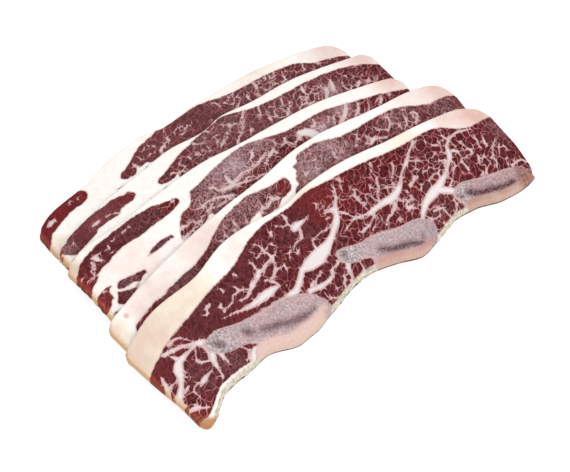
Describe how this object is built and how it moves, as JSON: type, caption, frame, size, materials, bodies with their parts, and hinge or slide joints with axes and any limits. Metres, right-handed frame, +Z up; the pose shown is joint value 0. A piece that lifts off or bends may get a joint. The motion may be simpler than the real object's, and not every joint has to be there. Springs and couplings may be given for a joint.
{
  "type": "raw beef short ribs",
  "caption": "Raw beef short ribs in thin slices cut across the bones, fanned over each other in the order of cutting, with marbled lean, a rim of fat and sawn rib bones.",
  "frame": {"origin": "under the middle of the whole, on the surface that the slices lie on", "axes": "+X along the slices, +Y from the bone edges to the fat edges, towards the slice at the back, +Z up"},
  "size_m": [0.2318, 0.1582, 0.0226],
  "materials": {
    "raw_lean": "moist raw beef, deep red to grey-red, with dense white marbling and a satin wet sheen",
    "raw_fat": "firm raw beef fat, creamy white with pink tints, satin",
    "sawn_bone": "sawn rib bone, porous lavender grey with a dark marrow line and a tan-pink rind, matt and damp"
  },
  "bodies": {
    "root": {"slice_1_lean": "raw_lean", "slice_1_fat_cap": "raw_fat", "slice_1_rib_a": "sawn_bone", "slice_1_rib_b": "sawn_bone", "slice_1_rib_c": "sawn_bone", "slice_2_lean": "raw_lean", "slice_2_fat_cap": "raw_fat", "slice_2_rib_a": "sawn_bone", "slice_2_rib_b": "sawn_bone", "slice_2_rib_c": "sawn_bone", "slice_3_lean": "raw_lean", "slice_3_fat_cap": "raw_fat", "slice_3_rib_a": "sawn_bone", "slice_3_rib_b": "sawn_bone", "slice_3_rib_c": "sawn_bone", "slice_4_lean": "raw_lean", "slice_4_fat_cap": "raw_fat", "slice_4_rib_a": "sawn_bone", "slice_4_rib_b": "sawn_bone", "slice_4_rib_c": "sawn_bone", "slice_5_lean": "raw_lean", "slice_5_fat_cap": "raw_fat", "slice_5_rib_a": "sawn_bone", "slice_5_rib_b": "sawn_bone", "slice_5_rib_c": "sawn_bone"}
  },
  "joints": []
}
